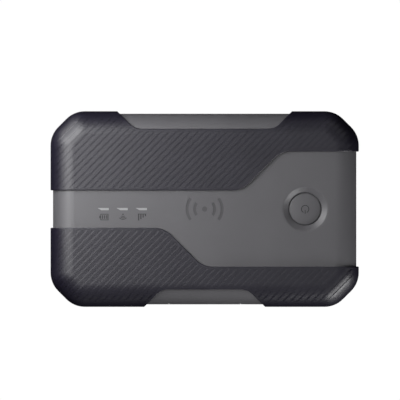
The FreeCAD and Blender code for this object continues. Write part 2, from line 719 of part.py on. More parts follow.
# ---- USB-C socket and reset switch --------------------------------------------------------------
def usb_c_shell():
    y = (USB_MOUTH_Y + 0.1, USB_END_Y)
    hollow = slot_y(8.34, 2.66, USB_X, (y[0] - 1, y[1] - 0.3), PORT_Z)
    shell = slot_y(8.94, 3.26, USB_X, y, PORT_Z).cut(hollow)
    tabs = [
        box((USB_X + sx * 3.9 - 0.15, USB_X + sx * 3.9 + 0.15), (ty, ty + 1.0), (PORT_Z + 1.0, BOARD_Z[0]))
        for sx in (1, -1)
        for ty in (-33.4, -30.4)
    ]
    return shell.multiFuse([t.cut(slot_y(8.4, 2.7, USB_X, (-40, -28), PORT_Z)) for t in tabs])


def usb_c_tongue():
    base = slot_y(8.3, 2.6, USB_X, (USB_END_Y - 1.6, USB_END_Y - 0.32), PORT_Z)
    y = (USB_MOUTH_Y + 1.0, USB_END_Y - 1.5)
    blade = box((USB_X - 3.35, USB_X + 3.35), y, (PORT_Z - 0.35, PORT_Z + 0.35))
    return base.fuse(blade)


def usb_c_contacts():
    """Twelve contacts on each face of the tongue."""
    pads = []
    for i in range(12):
        x = USB_X + (i - 5.5) * 0.5
        for z in ((PORT_Z + 0.35, PORT_Z + 0.41), (PORT_Z - 0.41, PORT_Z - 0.35)):
            pads.append(box((x - 0.13, x + 0.13), (USB_MOUTH_Y + 1.3, USB_END_Y - 1.7), z))
    return Part.makeCompound(pads)


def usb_c_seal():
    y = (USB_MOUTH_Y + 0.45, BAY_INNER_Y)
    return slot_y(10.9, 5.1, USB_X, y, PORT_Z).cut(slot_y(9.0, 3.32, USB_X, (y[0] - 1, y[1] + 1), PORT_Z))


def reset_switch_body():
    body = box((RESET_X - 2.2, RESET_X + 2.2), (-34.2, -31.0), (12.1, BOARD_Z[0]))
    return body.cut(rod_y(0.9, RESET_X, (-35, -32.0), PORT_Z))


def reset_plunger():
    return rod_y(0.85, RESET_X, (-35.8, -32.5), PORT_Z)


# ---- port door ----------------------------------------------------------------------------------
def port_door():
    """The bay's door: a plate flush with the case, on a barrel along its lower edge."""
    width = (-DOOR_HALF, DOOR_HALF)
    panel = CASE.common(box(width, (-FAR, DOOR_INNER_Y), DOOR_Z))
    door = panel.fuse(rod_x(BARREL_R, width, HINGE_Y, HINGE_Z))
    bore = rod_x(PIN_R + 0.03, (-DOOR_HALF + 0.8, DOOR_HALF - 0.8), HINGE_Y, HINGE_Z)
    cuts = []
    for low, high in (EAR_X, (-EAR_X[1], -EAR_X[0])):
        x = (low - 0.2, high + 0.2)
        cuts.append(rod_x(BARREL_R + 0.25, x, HINGE_Y, HINGE_Z))
        cuts.append(box(x, (-FAR, FAR), (0, HINGE_Z + BARREL_R)))
    for i in range(3):
        cuts.append(rod_x(0.25, (-5, 5), -WIDTH / 2 + CASE_INSET, DOOR_Z[1] - 1.4 - 0.9 * i))
    return door.cut(bore).cut(fused(cuts))


def port_door_gasket():
    """The silicone moulding on the door's inner face, with a plug for the socket's mouth."""
    sheet = box((-14.6, 14.6), (DOOR_INNER_Y, BAY_FLOOR_Y - 0.06), (9.4, 16.6))
    plug = slot_y(12.0, 5.4, USB_X, (BAY_FLOOR_Y - 0.2, BAY_FLOOR_Y + 1.1), PORT_Z)
    return sheet.fuse(plug)


def hinge_pin():
    return rod_x(PIN_R, (-DOOR_HALF + 1, DOOR_HALF - 1), HINGE_Y, HINGE_Z)


# ---- SIM tray -----------------------------------------------------------------------------------
def sim_tray():
    """The drawer for a nano SIM: a card frame, a neck for its seal and a head flush with the case."""
    head = CASE.common(slot_y(TRAY_HEAD[0], TRAY_HEAD[1], SIM_X, (37.6, FAR), SIM_Z))
    x = (SIM_X - TRAY_W / 2, SIM_X + TRAY_W / 2)
    sheet = box(x, (18.5, 37.7), (SIM_Z - 0.45, SIM_Z + 0.45))
    card = box((SIM_X - 6.2, SIM_X + 6.2), (20.5, 29.4), (SIM_Z - 0.25, SIM_Z + 1))
    window = box((SIM_X - 5.0, SIM_X + 5.0), (21.7, 28.2), (SIM_Z - 1, SIM_Z + 1))
    nail = rod_x(0.45, (SIM_X - 4, SIM_X + 4), WIDTH / 2 - CASE_INSET, SIM_Z + 0.5)
    return head.fuse(sheet).cut(fused([card, window, nail]))


def sim_tray_seal():
    """The rubber ring behind the tray's head."""
    y = (37.42, 37.6)
    ring_part = slot_y(TRAY_HEAD[0] - 0.1, TRAY_HEAD[1] - 0.1, SIM_X, y, SIM_Z)
    hole = box((SIM_X - TRAY_W / 2 - CLEAR, SIM_X + TRAY_W / 2 + CLEAR), (30, 40), (SIM_Z - 0.5, SIM_Z + 0.5))
    return ring_part.cut(hole)


def sim_socket():
    """The steel reader under the board that the tray runs in."""
    can = box((SIM_X - 8.2, SIM_X + 8.2), (17.5, 31.5), (SIM_Z - 0.85, BOARD_Z[0]))
    return can.cut(box((SIM_X - 7.2, SIM_X + 7.2), (18.2, 33), (SIM_Z - 0.6, BOARD_Z[0] + 1)))


PARTS = {
    "front_shell": front_shell,
    "rear_shell": rear_shell,
    "front_bumper_upper": lambda: front_bumper(1),
    "front_bumper_lower": lambda: front_bumper(-1),
    "rear_bumper_upper": lambda: rear_bumper(1),
    "rear_bumper_lower": lambda: rear_bumper(-1),
    "case_gasket": case_gasket,
    "rating_label": rating_label,
    "case_screws": case_screws,
    "screw_seals": screw_seals,
    "screw_inserts": screw_inserts,
    "board_screws": board_screws,
    "power_button": power_button,
    "button_seal_ring": button_seal_ring,
    "button_retainer": button_retainer,
    "power_switch_body": power_switch_body,
    "power_switch_plunger": power_switch_plunger,
    "led_light_guide": led_light_guide,
    "light_guide_seal": light_guide_seal,
    "status_leds": status_leds,
    "mid_frame": mid_frame,
    "main_board": main_board,
    "modem_shield_can": lambda: shield_can("modem"),
    "wifi_shield_can": lambda: shield_can("wifi"),
    "power_shield_can": lambda: shield_can("power"),
    "modem_chips": modem_chips,
    "wifi_chips": wifi_chips,
    "power_chips": power_chips,
    "thermal_pad": thermal_pad,
    "heat_spreader": heat_spreader,
    "battery_cell": battery_cell,
    "battery_protection_board": battery_protection_board,
    "battery_adhesive": battery_adhesive,
    "battery_foam": battery_foam,
    "battery_flex": battery_flex,
    "battery_plug": battery_plug,
    "battery_socket": battery_socket,
    "antenna_carrier_left": lambda: antenna_carrier(-1),
    "antenna_carrier_right": lambda: antenna_carrier(1),
    "antenna_flex_left": lambda: antenna_flex(-1),
    "antenna_flex_right": lambda: antenna_flex(1),
    "wifi_antenna_upper": lambda: wifi_antenna(1),
    "wifi_antenna_lower": lambda: wifi_antenna(-1),
    "antenna_springs": antenna_springs,
    "usb_c_shell": usb_c_shell,
    "usb_c_tongue": usb_c_tongue,
    "usb_c_contacts": usb_c_contacts,
    "usb_c_seal": usb_c_seal,
    "reset_switch_body": reset_switch_body,
    "reset_plunger": reset_plunger,
    "port_door": port_door,
    "port_door_gasket": port_door_gasket,
    "hinge_pin": hinge_pin,
    "sim_tray": sim_tray,
    "sim_tray_seal": sim_tray_seal,
    "sim_socket": sim_socket,
}


def main():
    os.makedirs("parts", exist_ok=True)
    for name, make in PARTS.items():
        shape = make()
        solids = shape.Solids
        volume = sum(s.Volume for s in solids)
        print(f"{name}: {len(solids)} solids, {volume:.1f} mm3, valid {shape.isValid()}")
        kept = solids[0] if len(solids) == 1 else Part.makeCompound(solids)
        kept.exportStep(os.path.join("parts", name + ".step"))


main()
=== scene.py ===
import json
import math

import bmesh
import bpy
import numpy as np
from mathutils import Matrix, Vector


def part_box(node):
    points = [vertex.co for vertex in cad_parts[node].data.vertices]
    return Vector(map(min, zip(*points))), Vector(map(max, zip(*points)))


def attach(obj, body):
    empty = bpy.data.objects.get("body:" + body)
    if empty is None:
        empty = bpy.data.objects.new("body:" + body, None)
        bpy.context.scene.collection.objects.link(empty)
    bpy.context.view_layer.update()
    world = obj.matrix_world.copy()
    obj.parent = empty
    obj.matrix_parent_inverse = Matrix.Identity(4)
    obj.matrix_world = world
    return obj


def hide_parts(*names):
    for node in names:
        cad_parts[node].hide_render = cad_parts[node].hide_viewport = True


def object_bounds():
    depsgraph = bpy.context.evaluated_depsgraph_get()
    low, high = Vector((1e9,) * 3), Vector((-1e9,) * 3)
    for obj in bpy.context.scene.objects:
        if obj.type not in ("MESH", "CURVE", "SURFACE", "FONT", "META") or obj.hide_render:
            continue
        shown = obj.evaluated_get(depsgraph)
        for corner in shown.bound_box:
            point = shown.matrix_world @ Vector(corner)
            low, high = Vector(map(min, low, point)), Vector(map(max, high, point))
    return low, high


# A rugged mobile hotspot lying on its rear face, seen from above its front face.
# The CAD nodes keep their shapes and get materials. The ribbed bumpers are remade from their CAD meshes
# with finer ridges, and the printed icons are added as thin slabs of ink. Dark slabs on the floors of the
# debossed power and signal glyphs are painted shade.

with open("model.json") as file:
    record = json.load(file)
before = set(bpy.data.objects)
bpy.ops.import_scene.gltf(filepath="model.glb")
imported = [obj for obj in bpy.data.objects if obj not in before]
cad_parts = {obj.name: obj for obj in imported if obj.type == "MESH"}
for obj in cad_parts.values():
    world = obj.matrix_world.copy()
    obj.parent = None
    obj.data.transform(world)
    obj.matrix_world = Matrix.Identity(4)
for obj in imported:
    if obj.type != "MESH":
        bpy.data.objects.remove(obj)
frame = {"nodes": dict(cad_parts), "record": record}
CAD_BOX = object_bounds()

# ---- sizes in metres, as the CAD has them -------------------------------------------------------
MM = 0.001
HALF_LENGTH = CAD_BOX[1].x
HALF_WIDTH = CAD_BOX[1].y
THICKNESS = CAD_BOX[1].z
CORNER_LEG = 9.9 * MM  # what the 45 degree corner takes off each side
CORNER_R = 11.0 * MM
ROLL_R = 10.05 * MM
CASE_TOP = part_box("led_light_guide")[1].z  # the case's front face, flush with the light bars

# Ridges on the bumpers: depths below the body's outermost surface
RIDGE_PITCH = 2.15 * MM
GROOVES_EACH_WAY = 31
GROOVE_HALF = 0.25 * MM
CREST_DEPTH = 0.08 * MM  # of the CAD's flat ridge tops
FLOOR_DEPTH = 0.25 * MM  # of the CAD's groove floors
BORDER, CREST, FLOOR = 1, 2, 3  # kinds of face on the outside of a bumper
# A ridge's profile: how far past the middle of a groove, and how deep
PROFILE = np.array([(0.25, 0.08), (0.6, 0.05), (1.0, 0.053), (1.45, 0.063), (1.9, 0.08)]) * MM
SOFT_FLOOR = 0.12 * MM  # the grooves' floors, softened by the moulding
RELIEF_MIDDLE = 0.065 * MM
ROLL_RELIEF = 6.0  # how much more the ridges stand out as the surface rolls away
MOST_RELIEF = 3.0
LEAST_RELIEF = 0.1
RIDGE_REACH = 4.5 * MM  # the ridges end this far down from the front or rear face
FADE = 1.6 * MM  # and fade out over this height before their end
ON_SURFACE = 0.012 * MM  # a vertex this near a surface lies on it
FACING_OUT = 0.7  # a face on the outside has at least this cosine to the way out
LEAST_ALONG = 0.35  # where less of the way out than this runs along the ridges, points go straight out
WELD = 1e-7
ACROSS = np.array((1.0, -1.0, 0.0)) / math.sqrt(2)  # the ridges run at right angles to this

BUMPERS = ("front_bumper_upper", "front_bumper_lower", "rear_bumper_upper", "rear_bumper_lower")


# ---- the body's outermost surface ---------------------------------------------------------------
def outer_surface(points):
    """How deep each point lies below the rolled, corner-cut body, and the way out from there."""
    leg = CORNER_LEG - CORNER_R * (2 - math.sqrt(2))
    core = np.array((HALF_LENGTH - CORNER_R, HALF_WIDTH - CORNER_R))
    plan = np.abs(points[:, :2])
    low_end = core - (0, leg)
    cut = np.array((-leg, leg))
    along = np.clip((plan - low_end) @ cut / (cut @ cut), 0, 1)[:, None]
    nearest = np.minimum(plan, core)
    in_corner = (plan[:, 0] > core[0] - leg) & (plan[:, 1] > core[1] - leg)
    past_cut = in_corner & (plan.sum(1) > low_end.sum())
    nearest[past_cut] = (low_end + along * cut)[past_cut]
    away = (plan - nearest) * np.sign(points[:, :2])
    distance = np.linalg.norm(away, axis=1)
    reach = np.maximum(distance - (CORNER_R - ROLL_R), 0)
    outward = away / np.maximum(distance, 1e-12)[:, None]
    height = points[:, 2]
    rise = np.maximum(height - (THICKNESS - ROLL_R), 0) - np.maximum(ROLL_R - height, 0)
    radius = np.maximum(np.hypot(reach, rise), 1e-12)
    normal = np.column_stack((outward * reach[:, None], rise)) / radius[:, None]
    return ROLL_R - radius, normal


# ---- ribbed bumpers -----------------------------------------------------------------------------
def past_groove(points, facing):
    """How far each point lies past the groove before it, and whether it is beyond the last groove."""
    across = points @ facing
    past = np.mod(across / RIDGE_PITCH - 0.5, 1.0) * RIDGE_PITCH
    last = (GROOVES_EACH_WAY - 0.5) * RIDGE_PITCH + GROOVE_HALF / 2
    return past, np.abs(across) > last


def tag_faces(work, tag):
    """Gives each face on the bumper's outside its kind. The rest stay 0."""
    points = np.array([v.co for v in work.verts])
    depth, normal = outer_surface(points)
    for face in work.faces:
        ids = [v.index for v in face.verts]
        level = depth[ids]
        if np.dot(normal[ids].sum(0), face.normal) < FACING_OUT * len(ids):
            continue
        for kind, wanted in ((BORDER, 0.0), (CREST, CREST_DEPTH), (FLOOR, FLOOR_DEPTH)):
            if np.all(np.abs(level - wanted) < ON_SURFACE):
                face[tag] = kind


def split_crests(work, tag, facing):
    """Cuts the ridge tops lengthwise wherever their profile bends."""
    strips = {}
    for face in work.faces:
        if face[tag] == CREST:
            middle = np.array(face.calc_center_median()) @ facing
            strips.setdefault(math.floor(middle / RIDGE_PITCH - 0.5), []).append(face)
    for number, faces in strips.items():
        for past in PROFILE[1:-1, 0]:
            place = Vector(facing * ((number + 0.5) * RIDGE_PITCH + past))
            edges = {e for f in faces for e in f.edges}
            verts = {v for f in faces for v in f.verts}
            geom = faces + list(edges) + list(verts)
            made = bmesh.ops.bisect_plane(work, geom=geom, plane_co=place, plane_no=facing, dist=WELD)
            faces = [g for g in made["geom"] if isinstance(g, bmesh.types.BMFace)]


def relief(points, normal):
    """How many times deeper the ridges are than on the flat face, and how far they have faded out."""
    deeper = np.clip(1 + ROLL_RELIEF * (1 - np.abs(normal[:, 2])), 1, MOST_RELIEF)
    height = np.abs(points[:, 2] - THICKNESS / 2)
    fade = np.clip((height - (THICKNESS / 2 - RIDGE_REACH)) / FADE, LEAST_RELIEF, 1)
    return deeper * fade, fade


def ridge_slope(past):
    """The profile's slope at each point, sharp where a ridge's steep face ends and smooth after it."""
    slopes = np.diff(PROFILE[:, 1]) / np.diff(PROFILE[:, 0])
    bends = (slopes[1:-1] + slopes[2:]) / 2
    smooth = np.interp(past, PROFILE[1:, 0], np.concatenate((slopes[1:2], bends, slopes[-1:])))
    return slopes[0], smooth


def cut_up(node, facing):
    """A copy of a bumper's CAD mesh, welded, with its faces' kinds and its ridge tops split.

    Each corner's CAD normal goes with it, for the faces whose shading stays as it is.
    """
    source = frame["nodes"][node].data
    mesh = source.copy()
    carried = mesh.attributes.new("carried", "FLOAT_VECTOR", "CORNER")
    carried.data.foreach_set("vector", [c for n in source.corner_normals for c in n.vector])
    work = bmesh.new()
    work.from_mesh(mesh)
    bmesh.ops.remove_doubles(work, verts=work.verts, dist=WELD)
    work.verts.index_update()
    work.normal_update()
    tag = work.faces.layers.int.new("kind")
    tag_faces(work, tag)
    split_crests(work, tag, facing)
    bmesh.ops.triangulate(work, faces=[f for f in work.faces if len(f.verts) > 3])
    work.to_mesh(mesh)
    work.free()
    return mesh


def read(items, name, kind, width=1):
    """A property of all of a mesh's vertices, corners or faces, as an array."""
    values = np.empty(len(items) * width, kind)
    items.foreach_get(name, values)
    return values.reshape(-1, width) if width > 1 else values


def moved_to_depth(points, normal, change):
    """The points moved out by a change in depth, each staying at its own place across the ridges."""
    along = normal - np.outer(normal @ ACROSS, ACROSS)
    across = np.linalg.norm(along, axis=1) < LEAST_ALONG
    along[across] = normal[across]
    along /= np.linalg.norm(along, axis=1)[:, None]
    step = change / np.einsum("ij,ij->i", along, normal)
    return points + along * step[:, None]


def ribbed(node):
    """A bumper with its saw-tooth ridges, made from its CAD solid, whose ridge tops are flat.

    The upper bumper is the lower one turned half round, so its ridges face the other way.
    """
    facing = -ACROSS if node.endswith("upper") else ACROSS
    mesh = cut_up(node, facing)
    points = read(mesh.vertices, "co", float, 3)
    vertex = read(mesh.loops, "vertex_index", int)  # of each face corner
    sides = read(mesh.polygons, "loop_total", int)
    starts = np.concatenate(([0], np.cumsum(sides)[:-1]))
    kind = np.repeat(read(mesh.attributes["kind"].data, "value", int), sides)
    normals = read(mesh.attributes["carried"].data, "vector", float, 3)

    depth, outward = outer_surface(points)
    past, beyond = past_groove(points, facing)
    wanted = np.where(beyond, CREST_DEPTH, np.interp(past, PROFILE[:, 0], PROFILE[:, 1]))
    wanted[vertex[kind == FLOOR]] = SOFT_FLOOR
    deeper, fade = relief(points, outward)
    wanted = RELIEF_MIDDLE * fade + (wanted - RELIEF_MIDDLE) * deeper
    from_middle = np.abs(points[:, 2] - THICKNESS / 2)
    at_end = np.abs(from_middle - (THICKNESS / 2 - RIDGE_REACH)) < ON_SURFACE
    ends = np.repeat(np.logical_and.reduceat(at_end[vertex], starts), sides)
    moved = np.zeros(len(points), bool)
    moved[vertex[(kind == CREST) | (kind == FLOOR)]] = True
    points[moved] = moved_to_depth(points, outward, depth - wanted)[moved]
    mesh.vertices.foreach_set("co", points.ravel())

    smooth = (kind > 0) | ends
    normals[smooth] = outward[vertex[smooth]]
    middles = np.add.reduceat(points[vertex], starts, axis=0) / sides[:, None]
    face_past, _ = past_groove(np.repeat(middles, sides, axis=0), facing)
    steep_slope, slope = ridge_slope(past[vertex])
    slope = np.where(face_past < PROFILE[1, 0], steep_slope, slope) * deeper[vertex]
    tilted = (kind == CREST) & ~beyond[vertex]
    normals[tilted] += np.outer(slope, facing)[tilted]
    normals /= np.maximum(np.linalg.norm(normals, axis=1), 1e-9)[:, None]
    for name in ("kind", "carried"):
        mesh.attributes.remove(mesh.attributes[name])
    mesh.update()
    mesh.normals_split_custom_set(normals.tolist())

    piece = bpy.data.objects.new(node + "_ribbed", mesh)
    bpy.context.scene.collection.objects.link(piece)
    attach(piece, "case")
    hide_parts(node)
    return piece


# ---- printed icons, and painted shade in the debossed glyphs ------------------------------------
# height of each slab: the printed ink, and the painted shade in the glyphs
SLAB_HEIGHT = 0.02 * MM
ICON_Y = -3.35 * MM
ICON_X = (-42.4 * MM, -34.4 * MM, -26.35 * MM)
MARK_DEPTH = 0.2 * MM  # of the CAD's debossed glyph, on whose floor the slab of painted shade lies
# the button's debossed symbol, whose floor gets a dark slab of painted shade
BUTTON_MARK = (42.3 * MM, 0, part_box("power_button")[1].z - 0.15 * MM)  # floor of the cap's symbol


def slab(work, outline):
    """A flat printed shape, or a slab of painted shade, with the given outline, in millimetres about the
    icon's middle.
    """
    low = [work.verts.new((x * MM, y * MM, 0)) for x, y in outline]
    high = [work.verts.new((x * MM, y * MM, SLAB_HEIGHT)) for x, y in outline]
    work.faces.new(high)
    work.faces.new(low[::-1])
    for i in range(len(outline)):
        j = (i + 1) % len(outline)
        work.faces.new((low[i], low[j], high[j], high[i]))


def bar(work, x, y):
    """A rectangle between two values of x and two of y."""
    slab(work, [(x[0], y[0]), (x[1], y[0]), (x[1], y[1]), (x[0], y[1])])


def arc(work, middle, radii, turn, steps=24):
    """A ring's sector, between two radii and two angles in degrees."""
    angles = [math.radians(turn[0] + (turn[1] - turn[0]) * i / steps) for i in range(steps + 1)]
    inner = [(middle[0] + radii[0] * math.cos(a), middle[1] + radii[0] * math.sin(a)) for a in angles]
    outer = [(middle[0] + radii[1] * math.cos(a), middle[1] + radii[1] * math.sin(a)) for a in angles]
    for i in range(steps):
        slab(work, [inner[i], outer[i], outer[i + 1], inner[i + 1]])


def battery_icon(work):
    """A battery with three charge bars. Up is -Y, as for every icon on the face."""
    bar(work, (-1.5, 1.9), (1.05, 1.35))
    bar(work, (-1.5, 1.9), (-1.35, -1.05))
    bar(work, (1.6, 1.9), (-1.05, 1.05))
    bar(work, (-1.5, -1.2), (-1.05, 1.05))
    bar(work, (-1.95, -1.5), (-0.55, 0.55))
    for x in (-0.85, 0.05, 0.95):
        bar(work, (x, x + 0.5), (-0.75, 0.75))


def wifi_icon(work):
    """A dot under three arcs."""
    middle = (0.0, 1.15)
    arc(work, middle, (0.0, 0.3), (0, 360))
    for radius in (0.9, 1.5, 2.1):
        arc(work, middle, (radius - 0.15, radius + 0.15), (-135, -45))


def bars_icon(work):
    """Four signal bars on a base line."""
    bar(work, (-1.8, 1.8), (1.15, 1.4))
    for i, length in enumerate((2.6, 2.0, 1.4, 0.8)):
        x = -1.7 + 0.95 * i
        bar(work, (x, x + 0.5), (1.15 - length, 1.15))


def power_painted_shade(work):
    """Painted shade on the floor of the button's debossed broken ring and bar, as dark slabs."""
    gap = math.degrees(math.asin(0.65 / 1.55))
    arc(work, (0, 0), (1.38, 1.72), (-90 + gap, 270 - gap), 48)
    bar(work, (-0.17, 0.17), (-1.97, -0.43))


def signal_painted_shade(work):
    """Painted shade on the floor of the face's debossed signal glyph, a dot between two pairs of arcs."""
    arc(work, (0, 0), (0, 1.12), (0, 360), 48)
    for radius in (4.2, 7.4):
        for turn in (-37.6, 142.4):
            arc(work, (0, 0), (radius - 0.62, radius + 0.62), (turn, turn + 75.2), 32)


def icon(draw, place, body="case"):
    """A printed icon, or the painted shade in a debossed glyph, named after the function that draws it.
    """
    name = draw.__name__
    work = bmesh.new()
    draw(work)
    bmesh.ops.remove_doubles(work, verts=work.verts, dist=WELD)
    mesh = bpy.data.meshes.new(name)
    work.to_mesh(mesh)
    work.free()
    piece = bpy.data.objects.new(name, mesh)
    piece.location = place
    bpy.context.scene.collection.objects.link(piece)
    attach(piece, body)
    return piece


# ---- materials ----------------------------------------------------------------------------------
MOTTLE_SIZE = 14 * MM
# radius of the bevel that finds the edges which get a painted highlight
HIGHLIGHT_EDGE = 0.25 * MM


class Graph:
    """A material's nodes. Lengths are metres, in the object's own space."""

    def __init__(self, name):
        self.material = bpy.data.materials.new(name)
        self.material.use_nodes = True
        self.nodes = self.material.node_tree.nodes
        self.links = self.material.node_tree.links
        self.shader = self.nodes["Principled BSDF"]
        self.place = self.nodes.new("ShaderNodeTexCoord").outputs["Object"]

    def put(self, socket, value):
        """Sets a socket to a constant, or links another node's output to it."""
        if isinstance(value, bpy.types.NodeSocket):
            self.links.new(value, socket)
        else:
            socket.default_value = value

    def add(self, kind, inputs, **settings):
        node = self.nodes.new(kind)
        for key, value in settings.items():
            setattr(node, key, value)
        for key, value in inputs.items():
            self.put(node.inputs[key], value)
        return node

    def noise(self, size, detail=3.0, rough=0.55, stretch=(1, 1, 1)):
        """Cloudy noise whose features are about that size."""
        place = self.add("ShaderNodeMapping", {"Vector": self.place, "Scale": stretch}).outputs[0]
        inputs = {"Vector": place, "Scale": 1 / size, "Detail": detail, "Roughness": rough}
        return self.add("ShaderNodeTexNoise", inputs).outputs["Fac"]

    def cells(self, size):
        """Distance from the middle of the nearest cell, with cells of about that size."""
        inputs = {"Vector": self.place, "Scale": 1 / size}
        return self.add("ShaderNodeTexVoronoi", inputs).outputs["Distance"]

    def span(self, value, low, high, start=0.3, end=0.7):
        """Maps a value from start..end to low..high."""
        inputs = {"Value": value, "From Min": start, "From Max": end, "To Min": low, "To Max": high}
        return self.add("ShaderNodeMapRange", inputs).outputs["Result"]

    def blend(self, factor, first, second):
        """A colour between two others."""
        node = self.add("ShaderNodeMix", {}, data_type="RGBA")
        self.put(node.inputs["Factor"], factor)
        self.put(node.inputs["A"], first)
        self.put(node.inputs["B"], second)
        return [o for o in node.outputs if o.type == "RGBA"][0]

    def bump(self, height, depth, below=None):
        """A normal from a height map of that depth, over another bump if there is one."""
        inputs = {"Height": height, "Distance": depth, "Strength": 1.0}
        if below is not None:
            inputs["Normal"] = below
        return self.add("ShaderNodeBump", inputs).outputs["Normal"]

    def edges(self, radius):
        """1 along convex and concave edges that are sharper than the radius, else 0."""
        soft = self.add("ShaderNodeBevel", {"Radius": radius}, samples=6).outputs["Normal"]
        hard = self.add("ShaderNodeNewGeometry", {}).outputs["Normal"]
        dot = self.add("ShaderNodeVectorMath", {0: soft, 1: hard}, operation="DOT_PRODUCT")
        return self.span(dot.outputs["Value"], 1.0, 0.0, 0.86, 0.995)


def shade(color, factor):
    """A colour made lighter or darker, with its alpha."""
    return tuple(min(c * factor, 1.0) for c in color) + (1.0,)


def moulded(name, color, rough, grain, depth, mottle=0.05, edge_highlight=0.0, **sockets):
    """Plastic, rubber or cast metal: grain-sized bumps, cloudy colour and roughness, and edges made
    lighter as a painted highlight.
    """
    g = Graph(name)
    cloud = g.noise(MOTTLE_SIZE, 4.0)
    fine = g.noise(grain, 2.0)
    paint = g.blend(g.span(cloud, 0.0, 1.0), shade(color, 1 - mottle), shade(color, 1 + mottle))
    if edge_highlight:
        # painted highlight: edges sharper than the radius are made lighter
        highlighted = g.add("ShaderNodeMath", {0: g.edges(HIGHLIGHT_EDGE), 1: edge_highlight}, operation="MULTIPLY")
        paint = g.blend(highlighted.outputs[0], paint, shade(color, 1.9))
    g.put(g.shader.inputs["Base Color"], paint)
    spread = g.add("ShaderNodeMath", {0: cloud, 1: fine}, operation="ADD").outputs[0]
    g.put(g.shader.inputs["Roughness"], g.span(spread, rough - 0.04, rough + 0.05, 0.7, 1.3))
    g.put(g.shader.inputs["Normal"], g.bump(g.noise(grain * 9, 2.0), depth * 2.0, g.bump(fine, depth)))
    for key, value in sockets.items():
        g.put(g.shader.inputs[key.replace("_", " ")], value)
    return g.material


def brushed(name, color, rough, line, stretch, metal=1.0, **sockets):
    """Rolled or turned metal: long fine lines in colour, roughness and height."""
    g = Graph(name)
    lines = g.noise(line, 3.0, 0.6, stretch)
    cloud = g.noise(6 * MM, 3.0)
    paint = g.blend(g.span(cloud, 0.0, 1.0), shade(color, 0.88), shade(color, 1.08))
    g.put(g.shader.inputs["Base Color"], paint)
    g.put(g.shader.inputs["Roughness"], g.span(lines, rough - 0.07, rough + 0.1))
    g.put(g.shader.inputs["Normal"], g.bump(lines, 0.004 * MM))
    g.put(g.shader.inputs["Metallic"], metal)
    for key, value in sockets.items():
        g.put(g.shader.inputs[key.replace("_", " ")], value)
    return g.material


def board_finish():
    """Solder mask over copper: tracks and pads show as slightly raised, lighter green."""
    g = Graph("board")
    layout = {
        "Vector": g.place,
        "Color1": (0, 0, 0, 1),
        "Color2": (0.25, 0.25, 0.25, 1),
        "Mortar": (1, 1, 1, 1),
        "Scale": 1 / (9 * MM),
        "Mortar Size": 0.012,
        "Brick Width": 0.42,
        "Row Height": 0.11,
    }
    track = g.add("ShaderNodeTexBrick", layout).outputs["Color"]
    cloud = g.noise(3 * MM)
    green = g.blend(g.span(cloud, 0.0, 1.0), (0.012, 0.06, 0.03, 1), (0.02, 0.085, 0.045, 1))
    g.put(g.shader.inputs["Base Color"], g.blend(track, green, (0.035, 0.16, 0.07, 1)))
    g.put(g.shader.inputs["Roughness"], g.span(cloud, 0.28, 0.42))
    g.put(g.shader.inputs["Normal"], g.bump(track, 0.03 * MM))
    g.put(g.shader.inputs["Coat Weight"], 0.3)
    return g.material


def film_finish():
    """Polyimide film with copper lines under it."""
    g = Graph("flex_film")
    wave = {"Vector": g.place, "Scale": 190.0, "Distortion": 0.3, "Detail": 1.0}
    lines = g.add("ShaderNodeTexWave", wave, bands_direction="Y").outputs["Fac"]
    amber = g.blend(g.span(g.noise(4 * MM), 0.0, 1.0), (0.34, 0.15, 0.03, 1), (0.5, 0.24, 0.06, 1))
    copper = (0.75, 0.4, 0.16, 1)
    g.put(g.shader.inputs["Base Color"], g.blend(g.span(lines, 0.0, 0.6, 0.55, 0.6), amber, copper))
    g.put(g.shader.inputs["Roughness"], g.span(lines, 0.22, 0.34))
    g.put(g.shader.inputs["Normal"], g.bump(lines, 0.02 * MM))
    return g.material


def foam_finish():
    """Black open-cell foam."""
    g = Graph("foam")
    pores = g.cells(0.35 * MM)
    black = g.blend(g.span(pores, 0.0, 1.0, 0.0, 0.6), (0.012,) * 3 + (1,), (0.07,) * 3 + (1,))
    g.put(g.shader.inputs["Base Color"], black)
    g.put(g.shader.inputs["Roughness"], g.span(pores, 0.8, 0.98, 0.0, 0.6))
    g.put(g.shader.inputs["Normal"], g.bump(pores, 0.15 * MM))
    return g.material


def label_finish():
    """A blank matt label: paper fibre and a faint laminate."""
    g = Graph("label")
    fibre = g.noise(0.25 * MM, 4.0, 0.7, (1, 4, 1))
    white = g.blend(g.span(fibre, 0.0, 1.0), (0.6, 0.6, 0.61, 1), (0.72, 0.72, 0.72, 1))
    g.put(g.shader.inputs["Base Color"], white)
    g.put(g.shader.inputs["Roughness"], g.span(fibre, 0.5, 0.65))
    g.put(g.shader.inputs["Normal"], g.bump(fibre, 0.01 * MM))
    return g.material


def wrap_finish():
    """The battery's foil pouch: soft wrinkles under a satin film."""
    g = Graph("cell_wrap")
    wrinkle = g.noise(7 * MM, 3.0, 0.5, (1, 1.6, 1))
    foil = g.blend(g.span(wrinkle, 0.0, 1.0), (0.42, 0.43, 0.45, 1), (0.55, 0.56, 0.58, 1))
    g.put(g.shader.inputs["Base Color"], foil)
    g.put(g.shader.inputs["Metallic"], 1.0)
    g.put(g.shader.inputs["Roughness"], g.span(wrinkle, 0.3, 0.45))
    g.put(g.shader.inputs["Normal"], g.bump(wrinkle, 0.35 * MM))
    return g.material


def lens_finish(name, color, glow):
    """Milky clear plastic, softly lit from behind."""
    g = Graph(name)
    cloud = g.noise(0.8 * MM)
    g.put(g.shader.inputs["Base Color"], g.blend(cloud, shade(color, 0.92), shade(color, 1.0)))
    g.put(g.shader.inputs["Roughness"], g.span(cloud, 0.25, 0.35))
    g.put(g.shader.inputs["Normal"], g.bump(cloud, 0.01 * MM))
    g.put(g.shader.inputs["Emission Color"], g.blend(cloud, shade(color, 0.85), shade(color, 1.0)))
    g.put(g.shader.inputs["Emission Strength"], glow)
    return g.material


CASE_GREY = (0.120, 0.118, 0.127)
RUBBER_BLACK = (0.0086, 0.0070, 0.0175)


